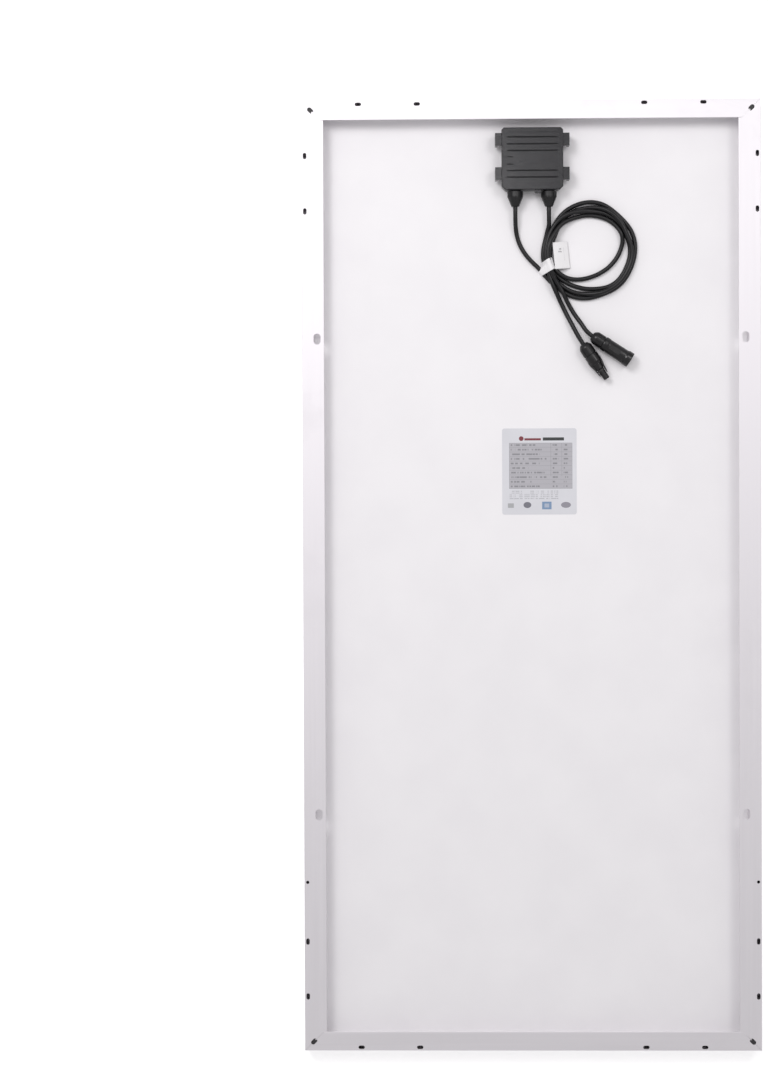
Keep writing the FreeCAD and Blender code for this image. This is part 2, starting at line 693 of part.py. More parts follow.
# ---- leads ----
def cord_path(route):
    """Straight runs joined by tangent arcs as large as the runs allow: the edges, and the radii."""
    points = [V(*p) for p in route]
    edges, radii = [], []
    last = points[0]
    for a, b, c in zip(points, points[1:], points[2:]):
        back, ahead = (a - b), (c - b)
        reach = 0.45 * min(back.Length, ahead.Length)
        back.normalize()
        ahead.normalize()
        turn = math.pi - back.getAngle(ahead)
        radius = reach / math.tan(turn / 2)
        radii.append(radius)
        start, end = b + back * reach, b + ahead * reach
        inward = (back + ahead)
        inward.normalize()
        middle = b + inward * (radius / math.cos(turn / 2) - radius)
        edges.append(Part.LineSegment(last, start).toShape())
        edges.append(Part.Arc(start, middle, end).toShape())
        last = end
    edges.append(Part.LineSegment(last, points[-1]).toShape())
    return edges, radii


def cord_tube(name, route):
    edges, radii = cord_path(route)
    path = Part.Wire(edges)
    start = V(*route[1]) - V(*route[0])
    ring = Part.Wire(Part.makeCircle(CABLE / 2, V(*route[0]), start))
    tube = path.makePipeShell([ring], True, True)
    expected = math.pi * CABLE ** 2 / 4 * path.Length
    print(f"{name}: length {path.Length:.1f}, radii {[round(r, 1) for r in radii]}, "
          f"volume ratio {tube.Volume / expected:.4f}")
    save(name, tube)


def cable_coil():
    """The outer shape of the coiled leads: a flat ring, wider where the turns fan out."""
    outer = Part.makeCylinder(COIL_OUTER_RADIUS, COIL_HEIGHT, V(*COIL_OUTER_CENTRE, BACK_Z + 0.05))
    inner = Part.makeCylinder(COIL_INNER_RADIUS, COIL_HEIGHT + 2, V(*COIL_INNER_CENTRE, BACK_Z - 1))
    ring = outer.cut(inner)
    rims = [e for e in ring.Edges if abs(e.Vertexes[0].Z - e.Vertexes[-1].Z) < 1e-6]
    return ring.makeFillet(COIL_ROUNDING, rims)


def cable_tie():
    """A soft wrap round the bundle."""
    inner, outer = TIE_INNER
    z0 = BACK_Z + 0.02
    half = TIE_LENGTH / 2
    solids = []
    for grow in (TIE_THICKNESS, 0):
        low = (inner - grow, -half, z0 + TIE_THICKNESS - grow)
        high = (outer + grow, half, z0 + TIE_HEIGHT + grow)
        solid = box(low, high)
        along = [e for e in solid.Edges if abs(e.Vertexes[0].Y - e.Vertexes[1].Y) > 1]
        solids.append(solid.makeFillet(3.0 + grow, along))
    band = solids[0].cut(solids[1])
    return placed(band, (*RING_CENTRE, 0), TIE_ANGLE)


def cable_tag():
    """A stiff paper flag on the wrap's inner side, leaning down to the backsheet."""
    length, reach = TAG_SIZE
    inner = TIE_INNER[0] - TIE_THICKNESS
    flag = box((inner - reach, -length + TIE_LENGTH / 2, 0), (inner, TIE_LENGTH / 2, TAG))
    flag.rotate(V(inner, 0, 0), V(0, 1, 0), -TAG_LEAN)
    flag.rotate(V(inner, TIE_LENGTH / 2, 0), V(0, 0, 1), -TAG_TURN)
    flag.translate(V(0, 0, BACK_Z + TAG_HEIGHT))
    return placed(flag, (*RING_CENTRE, 0), TIE_ANGLE)


def held_cable(at, heading, reach, core):
    """The cable inside a gland or a connector: the jacket up to reach, then the bared core."""
    jacket = turned([(0, 0), (0, CABLE / 2), (reach, CABLE / 2), (reach, 0)])
    strands = turned([(reach, 0), (reach, CORE / 2), (reach + core, CORE / 2), (reach + core, 0)])
    return placed(jacket, at, heading), placed(strands, at, heading)


def build_leads():
    for name, route in (("lead_cable_left", LEFT_LEAD), ("lead_cable_right", RIGHT_LEAD),
                        ("tail_cable_left", LEFT_TAIL), ("tail_cable_right", RIGHT_TAIL)):
        cord_tube(name, route)
    save("cable_coil", cable_coil())
    save("cable_tie", cable_tie())
    save("cable_tag", cable_tag())
    in_glands = [held_cable((x, NUT_END, GLAND_Z), 90, 37.0, 9.0) for x in gland_places()]
    save("gland_cable_ends", Part.makeCompound([jacket for jacket, _ in in_glands]))
    save("gland_cable_cores", Part.makeCompound([core for _, core in in_glands]))
    for name, at, heading in (("socket", (*SOCKET_END, SOCKET_Z), SOCKET_HEADING),
                              ("pin", (*PIN_END, PIN_Z), PIN_HEADING)):
        jacket, core = held_cable(at, heading, 21.5, 8.4)
        save(f"{name}_cable_end", jacket)
        save(f"{name}_cable_core", core)


os.makedirs("parts", exist_ok=True)
build_frame()
build_laminate()
build_box()
build_connectors()
build_leads()
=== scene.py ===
import math

import bpy
from mathutils import Matrix, Vector, noise
from mathutils.geometry import convex_hull_2d


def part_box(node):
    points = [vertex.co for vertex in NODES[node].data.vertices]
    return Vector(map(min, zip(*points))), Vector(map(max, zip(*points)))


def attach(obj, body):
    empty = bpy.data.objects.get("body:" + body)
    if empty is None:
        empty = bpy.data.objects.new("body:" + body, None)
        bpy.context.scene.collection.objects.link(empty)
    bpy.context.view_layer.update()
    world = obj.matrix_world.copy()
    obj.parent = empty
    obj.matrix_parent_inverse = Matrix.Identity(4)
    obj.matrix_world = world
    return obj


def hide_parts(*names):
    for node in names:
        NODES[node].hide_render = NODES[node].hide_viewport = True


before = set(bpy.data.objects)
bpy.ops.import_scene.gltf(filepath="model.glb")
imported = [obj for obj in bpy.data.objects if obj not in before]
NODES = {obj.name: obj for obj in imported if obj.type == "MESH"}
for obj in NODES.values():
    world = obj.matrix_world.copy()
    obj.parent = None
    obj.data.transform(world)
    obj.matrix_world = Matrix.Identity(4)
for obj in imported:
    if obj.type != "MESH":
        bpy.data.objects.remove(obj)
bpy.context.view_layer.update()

MM = 0.001
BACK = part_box("backsheet")[1].z
FRAME_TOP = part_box("long_rail_left")[1].z


# ---- camera, lights and floor ----
def add_camera():
    """Nearly straight above the back, to one side of the panel's middle."""
    height, turn = 2.8, (-0.757, 1.055, -0.223)
    data = bpy.data.cameras.new("camera")
    data.sensor_width = 36.0
    data.lens = 73.62
    camera = bpy.data.objects.new("camera", data)
    camera.location = (-0.1354, 0.0838, FRAME_TOP + height)
    camera.rotation_euler = [math.radians(angle) for angle in turn]
    bpy.context.scene.collection.objects.link(camera)
    bpy.context.scene.camera = camera


def softbox(name, place, size, power, colour=(1.0, 0.985, 0.995)):
    """A large lamp aimed at the middle of the panel."""
    data = bpy.data.lights.new(name, "AREA")
    data.shape = "RECTANGLE"
    data.size, data.size_y = size
    data.energy = power
    data.color = colour
    lamp = bpy.data.objects.new(name, data)
    lamp.location = place
    lamp.rotation_euler = (Vector((0, 0.1, 0)) - Vector(place)).to_track_quat("-Z", "Y").to_euler()
    bpy.context.scene.collection.objects.link(lamp)


def add_studio():
    softbox("key_lamp", (-1.05, 1.35, 2.1), (0.9, 0.9), 22)
    softbox("fill_lamp", (1.05, 1.15, 2.3), (0.8, 0.8), 10)
    softbox("sheen_lamp", (-0.14, 0.86, 2.85), (0.36, 0.5), 5)
    world = bpy.data.worlds.new("studio")
    world.use_nodes = True
    background = world.node_tree.nodes["Background"]
    background.inputs["Color"].default_value = (1.0, 0.985, 1.0, 1)
    background.inputs["Strength"].default_value = 0.56
    bpy.context.scene.world = world
    bpy.context.scene.view_settings.view_transform = "Standard"
    mesh = bpy.data.meshes.new("floor")
    reach = 4.0
    corners = [(-reach, -reach, -0.001), (reach, -reach, -0.001), (reach, reach, -0.001), (-reach, reach, -0.001)]
    mesh.from_pydata(corners, [], [(0, 1, 2, 3)])
    floor = bpy.data.objects.new("floor", mesh)
    bpy.context.scene.collection.objects.link(floor)
    paper = bpy.data.materials.new("floor_paper")
    paper.use_nodes = True
    shader = paper.node_tree.nodes["Principled BSDF"]
    shader.inputs["Base Color"].default_value = (0.93, 0.93, 0.93, 1)
    shader.inputs["Roughness"].default_value = 0.9
    shader.inputs["Emission Color"].default_value = (1, 1, 1, 1)
    shader.inputs["Emission Strength"].default_value = 0.4
    mesh.materials.append(paper)


# ---- leads ----
# Each lead leaves its gland, winds twice round the ring and runs on to its connector.
CABLE = 5.6 * MM
RING_CENTRE = (75.6, 415.0)
LAYER = 5.8
CABLE_Z = 9.0
RING_STEP = 12

LEFT_LEAD = [(-18.9, 469.5, 16.7), (-18.9, 457.5, 16.7), (-18.6, 446.4, 13.4), (-17.4, 435.6, 9.9),
             (-14.1, 424.0, 9.0), (-7.9, 412.2, 9.1), (0.9, 401.6, 9.0), (10.5, 392.8, 9.1)]
RIGHT_LEAD = [(23.7, 469.5, 16.7), (23.7, 457.5, 16.7), (24.2, 446.4, 13.3)]
LEFT_TAIL = [(32.2, 362.6, 13.8), (36.6, 353.0, 10.4), (41.0, 343.8, 9.0), (47.3, 330.8, 9.8),
             (54.0, 317.8, 13.2), (61.56, 302.86, 15.2), (66.9, 295.0, 15.2)]
RIGHT_TAIL = [(42.6, 358.4, 14.5), (47.0, 348.8, 11.0), (52.4, 339.4, 10.0), (58.2, 330.2, 10.4),
              (64.8, 321.1, 13.4), (71.73, 309.54, 16.2), (78.1, 305.4, 16.2)]

# (angle, radius, layer) at the places where a turn changes; angles run on through both turns
LEFT_TURNS = [(206, 66.0, 0.03), (215, 63.9, 0), (225, 63.1, 0), (240, 62.9, 0), (250, 63.0, 0), (260, 62.5, 0),
              (271, 60.8, 0), (281, 59.2, 0), (291, 58.3, 0), (300, 58.7, 0), (310, 58.9, 0), (320, 58.3, 0),
              (330, 57.6, 0), (340, 57.3, 0), (350, 57.6, 0), (360, 58.0, 0), (372, 58.4, 0), (382, 58.3, 0),
              (392, 57.6, 0), (401, 57.0, 0), (410, 56.8, 0), (420, 58.0, 0), (430, 59.9, 0), (440, 60.9, 0),
              (450, 60.9, 0), (460, 60.2, 0), (470, 59.2, 0), (480, 58.2, 0), (490, 56.9, 0), (500, 55.4, 0),
              (510, 53.5, 0), (520, 52.0, 0), (530, 51.7, 0), (540, 53.0, 0), (550, 54.2, 0), (561, 54.4, 0.03),
              (575, 52.7, 0), (590, 51.4, 0), (600, 50.2, 0), (610, 49.4, 0), (620, 49.4, 0), (630, 49.7, 0),
              (640, 50.0, 0), (650, 51.4, 0), (660, 52.9, 0), (670, 53.2, 0), (680, 52.6, 0), (690, 51.9, 0),
              (700, 51.6, 0), (710, 51.8, 0), (720, 51.6, 0), (730, 50.9, 0), (740, 50.0, 0), (750, 50.4, 0),
              (760, 51.0, 0), (770, 50.8, 0), (780, 50.4, 0), (790, 49.7, 0.05), (800, 49.0, 0.2),
              (810, 48.5, 0.6), (820, 49.4, 0.72), (830, 50.8, 0.92), (840, 52.6, 0.98), (850, 54.0, 0.9),
              (860, 54.5, 0.97), (870, 54.4, 0.98), (880, 54.7, 0.9), (890, 54.6, 0.9), (900, 55.9, 0.9),
              (910, 57.1, 0.9), (921, 57.4, 0.92), (933, 60.9, 0.93), (944, 64.6, 1.02)]
RIGHT_TURNS = [(154, 58.8, 0.3), (162, 57.4, 0.05), (170, 57.4, 0), (180, 58.8, 0), (190, 60.0, 0), (201, 60.1, 0.03),
               (215, 58.3, 0), (230, 57.4, 0), (250, 57.2, 0), (260, 56.5, 0.03), (271, 55.7, 0.45),
               (281, 57.2, 0.97), (291, 56.4, 0.95), (300, 56.0, 0.9), (310, 56.0, 0.9), (320, 55.4, 0.9),
               (330, 54.7, 0.9), (340, 54.4, 0.9), (350, 54.5, 0.9), (360, 53.6, 0.95), (370, 51.8, 1.02),
               (380, 50.4, 1.03), (390, 51.0, 1.03), (400, 52.3, 1.02), (410, 53.5, 0.95), (420, 54.3, 0.77),
               (430, 54.8, 0.42), (440, 54.8, 0.1), (450, 53.3, 0), (460, 53.3, 0), (470, 53.0, 0), (480, 52.4, 0),
               (490, 51.2, 0), (500, 49.7, 0.02), (510, 47.9, 0.15), (520, 47.3, 0.55), (530, 48.6, 0.85),
               (540, 50.2, 0.9), (550, 51.4, 0.9), (561, 51.6, 0.9), (575, 49.4, 0.82), (590, 46.0, 0.35),
               (600, 42.9, 0.05), (610, 39.7, 0), (620, 37.2, 0), (630, 34.8, 0), (640, 33.4, 0), (650, 32.6, 0),
               (660, 32.1, 0), (670, 32.4, 0), (680, 33.0, 0), (690, 33.8, 0), (700, 35.3, 0), (710, 37.2, 0),
               (720, 39.4, 0), (730, 42.2, 0.1), (740, 44.7, 0.4), (750, 45.6, 0.5), (760, 45.4, 0.15),
               (770, 45.1, 0), (780, 44.7, 0), (790, 44.0, 0), (800, 43.5, 0), (810, 43.9, 0), (820, 44.1, 0),
               (830, 44.3, 0.05), (840, 45.4, 0.3), (850, 47.2, 0.68), (860, 48.4, 1.03), (870, 48.9, 1.25),
               (880, 49.7, 1.55), (890, 51.5, 1.77), (900, 53.1, 1.8), (910, 54.3, 1.8), (921, 54.5, 1.78),
               (933, 56.5, 1.55), (943, 58.8, 1.15), (952, 61.0, 0.97)]


def between(stations, angle):
    """Radius and layer at an angle, on a smooth curve through the stations."""
    k = max(i for i, station in enumerate(stations[:-1]) if station[0] <= angle or i == 0)
    near = [stations[max(0, min(len(stations) - 1, k + d))] for d in (-1, 0, 1, 2)]
    (a0, *_), (a1, *p1), (a2, *p2), (a3, *_) = near
    span = a2 - a1
    t = (angle - a1) / span
    found = []
    for axis in (1, 2):
        s1 = (near[2][axis] - near[0][axis]) / (a2 - a0) * span
        s2 = (near[3][axis] - near[1][axis]) / (a3 - a1) * span
        v1, v2 = near[1][axis], near[2][axis]
        found.append((2 * t**3 - 3 * t**2 + 1) * v1 + (t**3 - 2 * t**2 + t) * s1
                     + (3 * t**2 - 2 * t**3) * v2 + (t**3 - t**2) * s2)
    return found


def ring_points(stations):
    """The lead's control points round the ring, one each RING_STEP degrees, a little wide of the line they bend."""
    first, last = stations[0][0], stations[-1][0]
    count = round((last - first) / RING_STEP)
    points = []
    for k in range(count + 1):
        angle = first + (last - first) * k / count
        radius, layer = between(stations, angle)
        radius /= math.cos(math.radians(RING_STEP / 2))
        turn = math.radians(angle)
        points.append((RING_CENTRE[0] + radius * math.cos(turn), RING_CENTRE[1] + radius * math.sin(turn),
                       CABLE_Z + LAYER * layer))
    return points


def lead(name, route):
    """A cable along a smooth curve whose control points are the route, in millimetres."""
    curve = bpy.data.curves.new(name, "CURVE")
    curve.dimensions = "3D"
    curve.bevel_depth = CABLE / 2
    curve.bevel_resolution = 5
    curve.use_fill_caps = True
    curve.resolution_u = 6
    spline = curve.splines.new("NURBS")
    spline.points.add(len(route) - 1)
    for point, place in zip(spline.points, route):
        point.co = (*(v * MM for v in place), 1)
    spline.order_u = 3
    spline.use_endpoint_u = True
    piece = bpy.data.objects.new(name, curve)
    bpy.context.scene.collection.objects.link(piece)
    return piece


add_camera()
add_studio()
left_cable = lead("left_cable", LEFT_LEAD + ring_points(LEFT_TURNS) + LEFT_TAIL)
right_cable = lead("right_cable", RIGHT_LEAD + ring_points(RIGHT_TURNS) + RIGHT_TAIL)


# ---- small hands for building meshes ----
def new_piece(name, vertices, faces, smooth=True):
    mesh = bpy.data.meshes.new(name)
    mesh.from_pydata(vertices, [], faces)
    mesh.update()
    if smooth:
        mesh.shade_smooth()
    piece = bpy.data.objects.new(name, mesh)
    bpy.context.scene.collection.objects.link(piece)
    return piece


def finished(piece):
    """The piece with its modifiers made part of its mesh."""
    graph = bpy.context.evaluated_depsgraph_get()
    mesh = bpy.data.meshes.new_from_object(piece.evaluated_get(graph))
    piece.modifiers.clear()
    old = piece.data
    piece.data = mesh
    bpy.data.meshes.remove(old)
    mesh.name = piece.name
    return piece


def thickened(piece, thickness, offset=1.0):
    solid = piece.modifiers.new("thickness", "SOLIDIFY")
    solid.thickness = thickness
    solid.offset = offset
    solid.use_even_offset = True
    return finished(piece)


# ---- wrap and flag on the bundle ----
TIE_ANGLE = 201.0
BUNDLE = [(60.1, 0), (54.4, 0), (57.3, 0.9), (51.6, 0.9), (54.5, 1.8)]
BUNDLE_MIDDLE = Vector((57.5, 13.0))
WRAP_LENGTH = 15.0
WRAP_FILM = 0.3
SHEET_TOP = BACK / MM


def ring_frame():
    """Local axes at the wrap, in millimetres from the ring's centre: X outwards, Y along the winding, Z up."""
    centre = Matrix.Translation((RING_CENTRE[0] * MM, RING_CENTRE[1] * MM, 0))
    return centre @ Matrix.Rotation(math.radians(TIE_ANGLE), 4, "Z") @ Matrix.Scale(MM, 4)


def eased(share):
    share = min(1.0, max(0.0, share))
    return share * share * (3 - 2 * share)


def wrap_section(strands, count):
    """A band pulled round the strands: (radius, height) at even angles about the bundle's middle."""
    reach = CABLE / MM / 2 + 0.25
    spots = [k * math.tau / 32 for k in range(32)]
    cloud = [Vector((r + reach * math.cos(a), z + reach * math.sin(a))) for r, z in strands for a in spots]
    hull = [cloud[i] for i in convex_hull_2d(cloud)]
    sides = []
    for start, end in zip(hull, hull[1:] + hull[:1]):
        outwards = Vector((end.y - start.y, start.x - end.x))
        depth = (start - BUNDLE_MIDDLE).dot(outwards)
        sides.append((outwards, depth) if depth > 0 else (-outwards, -depth))
    points = []
    for k in range(count):
        ray = Vector((math.cos(k * math.tau / count), math.sin(k * math.tau / count)))
        far = min(depth / ray.dot(outwards) for outwards, depth in sides if ray.dot(outwards) > 1e-9)
        points.append(BUNDLE_MIDDLE + ray * far)
    return points


def bundle_wrap():
    """A band of soft white film round the bundle; the left lead slips under its outer side on the way in."""
    count, rows = 120, 16
    place = ring_frame()
    bundle = [(r, CABLE_Z + LAYER * layer + 0.25) for r, layer in BUNDLE]
    vertices = []
    for row in range(rows + 1):
        share = row / rows - 0.5
        along = WRAP_LENGTH * share
        joining = 60.0 + (8.0 - 0.4 * along) * eased((share + 0.35) / 0.45)
        pinch = 0.25 * math.cos(math.pi * share) ** 2
        for r, z in wrap_section(bundle + [(joining, CABLE_Z)], count):
            crease = noise.noise(Vector((r * 0.5, along * 0.22, z * 0.5))) * 0.28 - pinch
            away = (Vector((r, z)) - BUNDLE_MIDDLE).normalized() * crease
            slant = 0.12 * (r - BUNDLE_MIDDLE.x)
            vertices.append(place @ Vector((r + away.x, along + slant, max(z + away.y, SHEET_TOP + 0.35))))
    faces = [(row * count + k, row * count + (k + 1) % count, (row + 1) * count + (k + 1) % count,
              (row + 1) * count + k) for row in range(rows) for k in range(count)]
    return thickened(new_piece("bundle_wrap", vertices, faces), WRAP_FILM * MM)


def wrap_flag():
    """A paper flag held under the wrap, leaning down inside the ring with a slight curl."""
    length, reach, fixed, raised = 34.0, 22.0, 50.0, 11.2
    lean, turn = math.radians(26), math.radians(-15)
    columns, rows = 24, 30
    place = ring_frame()
    vertices, faces = [], []
    for i in range(columns + 1):
        for j in range(rows + 1):
            u, v = i / columns, j / rows
            curl = 0.8 * math.sin(math.pi * u) * (0.4 + 0.6 * v)
            inward, along = -reach * u * math.cos(lean), -length * v
            x = fixed + inward * math.cos(turn) - along * math.sin(turn)
            y = WRAP_LENGTH / 2 + inward * math.sin(turn) + along * math.cos(turn)
            vertices.append(place @ Vector((x, y, SHEET_TOP + raised - reach * u * math.sin(lean) + curl)))
    for i in range(columns):
        for j in range(rows):
            a = i * (rows + 1) + j
            faces.append((a, a + rows + 1, a + rows + 2, a + 1))
    piece = new_piece("wrap_flag", vertices, faces)
    layer = piece.data.uv_layers.new(name="flag")
    for loop in piece.data.loops:
        i, j = divmod(loop.vertex_index, rows + 1)
        layer.data[loop.index].uv = (i / columns, j / rows)
    return thickened(piece, 0.16 * MM, 0)


# ---- node trees ----
class Value:
    """A number in a node tree, so that a pattern can be written as a sum."""

    def __init__(self, tree, socket):
        self.tree, self.socket = tree, socket

    def op(self, operation, *others):
        node = self.tree.nodes.new("ShaderNodeMath")
        node.operation = operation
        for slot, item in zip(node.inputs, (self, *others)):
            feed(self.tree, slot, item)
        return Value(self.tree, node.outputs[0])

    def __add__(self, other): return self.op("ADD", other)
    def __sub__(self, other): return self.op("SUBTRACT", other)
    def __mul__(self, other): return self.op("MULTIPLY", other)
    def __truediv__(self, other): return self.op("DIVIDE", other)
    def __gt__(self, other): return self.op("GREATER_THAN", other)
    def __lt__(self, other): return self.op("LESS_THAN", other)
    def inside(self, low, high): return (self > low) * (self < high)
    def either(self, other): return self.op("MAXIMUM", other)


def feed(tree, slot, item):
    """Sets an input, or links it to a value, a node's first output or a socket."""
    if isinstance(item, Value):
        item = item.socket
    if isinstance(item, bpy.types.NodeSocket):
        tree.links.new(item, slot)
    elif isinstance(item, (tuple, list)) and len(item) == 3 and len(slot.default_value) == 4:
        slot.default_value = (*item, 1)
    else:
        slot.default_value = item


def add(tree, kind, settings=None, **inputs):
    """A new node, with its inputs given by name, underscores for spaces."""
    node = tree.nodes.new(kind)
    for name, value in (settings or {}).items():
        setattr(node, name, value)
    for name, item in inputs.items():
        feed(tree, node.inputs[name.replace("_", " ")], item)
    return node


def mix(tree, share, first, second, blend="MIX"):
    node = add(tree, "ShaderNodeMix", {"data_type": "RGBA", "blend_type": blend})
    for index, item in ((0, share), (6, first), (7, second)):
        feed(tree, node.inputs[index], item)
    return node.outputs[2]


def clouds(tree, vector, scale, detail=3.0, roughness=0.5, distortion=0.0):
    node = add(tree, "ShaderNodeTexNoise", Vector=vector, Scale=scale, Detail=detail, Roughness=roughness,
               Distortion=distortion)
    return Value(tree, node.outputs[0])


def stretch(tree, vector, scale, location=(0, 0, 0), rotation=(0, 0, 0)):
    return add(tree, "ShaderNodeMapping", Vector=vector, Scale=scale, Location=location,
               Rotation=rotation).outputs[0]


def ranged(tree, value, low, high, out_low, out_high):
    node = tree.nodes.new("ShaderNodeMapRange")
    for index, item in enumerate((value, low, high, out_low, out_high)):
        feed(tree, node.inputs[index], item)
    return Value(tree, node.outputs[0])


SOCKETS = {float: "NodeSocketFloat", tuple: "NodeSocketVector"}


def group(name, inputs, outputs, build):
    """A shader node group. Inputs are name to default, a tuple for a vector; build gives name to value."""
    tree = bpy.data.node_groups.new(name, "ShaderNodeTree")
    for label, default in inputs.items():
        made = tree.interface.new_socket(name=label, in_out="INPUT", socket_type=SOCKETS[type(default)])
        made.default_value = default
    for label in outputs:
        tree.interface.new_socket(name=label, in_out="OUTPUT", socket_type="NodeSocketFloat")
    start, end = tree.nodes.new("NodeGroupInput"), tree.nodes.new("NodeGroupOutput")
    built = build(tree, {label: Value(tree, start.outputs[label]) for label in inputs})
    for label, value in built.items():
        feed(tree, end.inputs[label], value)
    return tree


def use(tree, made, **inputs):
    """Places a group in a material and gives its outputs by name."""
    node = tree.nodes.new("ShaderNodeGroup")
    node.node_tree = made
    for name, item in inputs.items():
        feed(tree, node.inputs[name.replace("_", " ")], item)
    return {output.name: Value(tree, output) for output in node.outputs}


def build_moulded(tree, given):
    """Fine sparked texture of a mould, with a slow unevenness in its gloss."""
    fine = clouds(tree, given["Vector"], given["Scale"], 2.0, 0.6)
    slow = clouds(tree, given["Vector"], given["Scale"] * 0.03, 3.0, 0.55)
    return {"Height": fine * given["Depth"] + slow * given["Depth"] * 0.5, "Uneven": slow}


def build_worn(tree, given):
    """Where an edge is rubbed: the turn of the surface within a small radius, broken up."""
    rounded = add(tree, "ShaderNodeBevel", {"samples": 6}, Radius=given["Radius"]).outputs[0]
    flat = add(tree, "ShaderNodeNewGeometry").outputs["Normal"]
    dot = add(tree, "ShaderNodeVectorMath", {"operation": "DOT_PRODUCT"})
    feed(tree, dot.inputs[0], rounded)
    feed(tree, dot.inputs[1], flat)
    turn = Value(tree, dot.outputs["Value"]) * -1.0 + 1.0
    broken = ranged(tree, clouds(tree, given["Vector"], given["Scale"], 4.0, 0.6), 0.35, 0.65, 0.25, 1.0)
    return {"Mask": (turn * given["Amount"] * broken).op("MINIMUM", 1.0)}


def build_dust(tree, given):
    """Fine pale dust on what faces up, thicker in patches."""
    up = add(tree, "ShaderNodeSeparateXYZ", Vector=add(tree, "ShaderNodeNewGeometry").outputs["Normal"]).outputs[2]
    facing = ranged(tree, Value(tree, up), 0.2, 1.0, 0.0, 1.0)
    patches = ranged(tree, clouds(tree, given["Vector"], 28.0, 5.0, 0.6), 0.28, 0.85, 0.3, 1.0)
    specks = ranged(tree, clouds(tree, given["Vector"], 900.0, 2.0, 0.5), 0.5, 0.72, 0.35, 1.0)
    return {"Mask": facing * patches * specks * given["Amount"]}


def build_drawn(tree, given):
    """Long fine lines left by a die or a brush, along whichever way the vector is squeezed."""
    lines = clouds(tree, given["Vector"], 1.0, 4.0, 0.62)
    broad = clouds(tree, given["Vector"], 0.14, 2.0, 0.5)
    return {"Height": lines * given["Depth"], "Uneven": lines * 0.55 + broad * 0.45}


MOULDED = group("moulded_texture", {"Vector": (0.0, 0.0, 0.0), "Scale": 1500.0, "Depth": 1.0},
                ("Height", "Uneven"), build_moulded)
WORN = group("worn_edges", {"Vector": (0.0, 0.0, 0.0), "Radius": 0.0006, "Scale": 160.0, "Amount": 1.0},
             ("Mask",), build_worn)
DUST = group("settled_dust", {"Vector": (0.0, 0.0, 0.0), "Amount": 0.2}, ("Mask",), build_dust)
DRAWN = group("drawn_lines", {"Vector": (0.0, 0.0, 0.0), "Depth": 1.0}, ("Height", "Uneven"), build_drawn)


# ---- materials ----
class Finish:
    """A material under way: its tree, its shader and the piece's own coordinates."""

    def __init__(self, name, **constant):
        self.material = bpy.data.materials.new(name)
        self.material.use_nodes = True
        self.tree = self.material.node_tree
        self.shader = self.tree.nodes["Principled BSDF"]
        self.place = self.tree.nodes.new("ShaderNodeTexCoord").outputs["Object"]
        self.set(**constant)

    def set(self, **inputs):
        for name, item in inputs.items():
            feed(self.tree, self.shader.inputs[name.replace("_", " ")], item)
        return self

    def axes(self):
        """X, Y and Z of a point on the piece, in millimetres."""
        scaled = stretch(self.tree, self.place, (1000, 1000, 1000))
        parts = add(self.tree, "ShaderNodeSeparateXYZ", Vector=scaled)
        return [Value(self.tree, output) for output in parts.outputs]

    def bump(self, height, distance, strength=1.0):
        node = add(self.tree, "ShaderNodeBump", Height=height, Distance=distance, Strength=strength)
        return self.set(Normal=node.outputs[0])

    def mix(self, share, first, second, blend="MIX"):
        return mix(self.tree, share, first, second, blend)

    def clouds(self, *values):
        return clouds(self.tree, self.place, *values)

    def ranged(self, *values):
        return ranged(self.tree, *values)


def plastic(name, colour, pale, roughness, grain, depth, dust, rub, spread=0.12, shine=0.4):
    """Moulded plastic or rubber: grain, uneven gloss, rubbed edges and a little dust."""
    finish = Finish(name, Specular_IOR_Level=shine)
    texture = use(finish.tree, MOULDED, Vector=finish.place, Scale=grain, Depth=1.0)
    worn = use(finish.tree, WORN, Vector=finish.place, Amount=rub)["Mask"]
    settled = use(finish.tree, DUST, Vector=finish.place, Amount=dust)["Mask"]
    shade = finish.mix(texture["Uneven"], [c * 0.8 for c in colour], [c * 1.25 for c in colour])
    shade = finish.mix(worn, shade, pale)
    shade = finish.mix(settled, shade, (0.52, 0.50, 0.48))
    rough = finish.ranged(texture["Uneven"], 0.3, 0.7, roughness - spread, roughness + spread)
    finish.set(Base_Color=shade, Roughness=rough + settled * 0.25 - worn * 0.08)
    return finish.bump(texture["Height"], depth * MM)


def lid_plastic(name, *look):
    """The box's plastic, with painted shade: its colour is darkened in the lid's grooves."""
    finish = plastic(name, *look)
    x, y, z = finish.axes()
    painted_shade_in_grooves = z.inside(26.5, 27.3) * x.inside(-30.0, 34.8) * y.inside(500.0, 562.4)
    base, rough = (finish.shader.inputs[label].links[0].from_socket for label in ("Base Color", "Roughness"))
    # painted shade: the lid's grooves are coloured nearly black to stand in for the shade inside them
    finish.set(Base_Color=finish.mix(painted_shade_in_grooves, base, (0.002, 0.002, 0.003)))
    return finish.set(Roughness=Value(finish.tree, rough) + painted_shade_in_grooves * 0.4).material


def anodised(name, squeeze):
    """Clear-anodised extrusion: fine die lines along the rail, rubbed edges, a few faint handling marks."""
    finish = Finish(name, Metallic=1.0)
    lines = use(finish.tree, DRAWN, Vector=stretch(finish.tree, finish.place, squeeze), Depth=1.0)
    worn = use(finish.tree, WORN, Vector=finish.place, Amount=2.2, Radius=0.0008)["Mask"]
    marks = finish.ranged(finish.clouds(9.0, 6.0, 0.65, 0.4), 0.55, 0.8, 0.0, 1.0)
    shade = finish.mix(lines["Uneven"], (0.775, 0.755, 0.78), (0.875, 0.855, 0.88))
    shade = finish.mix(marks * 0.3, shade, (0.73, 0.71, 0.73))
    shade = finish.mix(worn, shade, (0.93, 0.92, 0.93))
    rough = finish.ranged(lines["Uneven"], 0.3, 0.7, 0.52, 0.64)
    finish.set(Base_Color=shade, Roughness=rough - worn * 0.12 + marks * 0.06)
    return finish.bump(lines["Height"], 0.012 * MM, 0.7).material


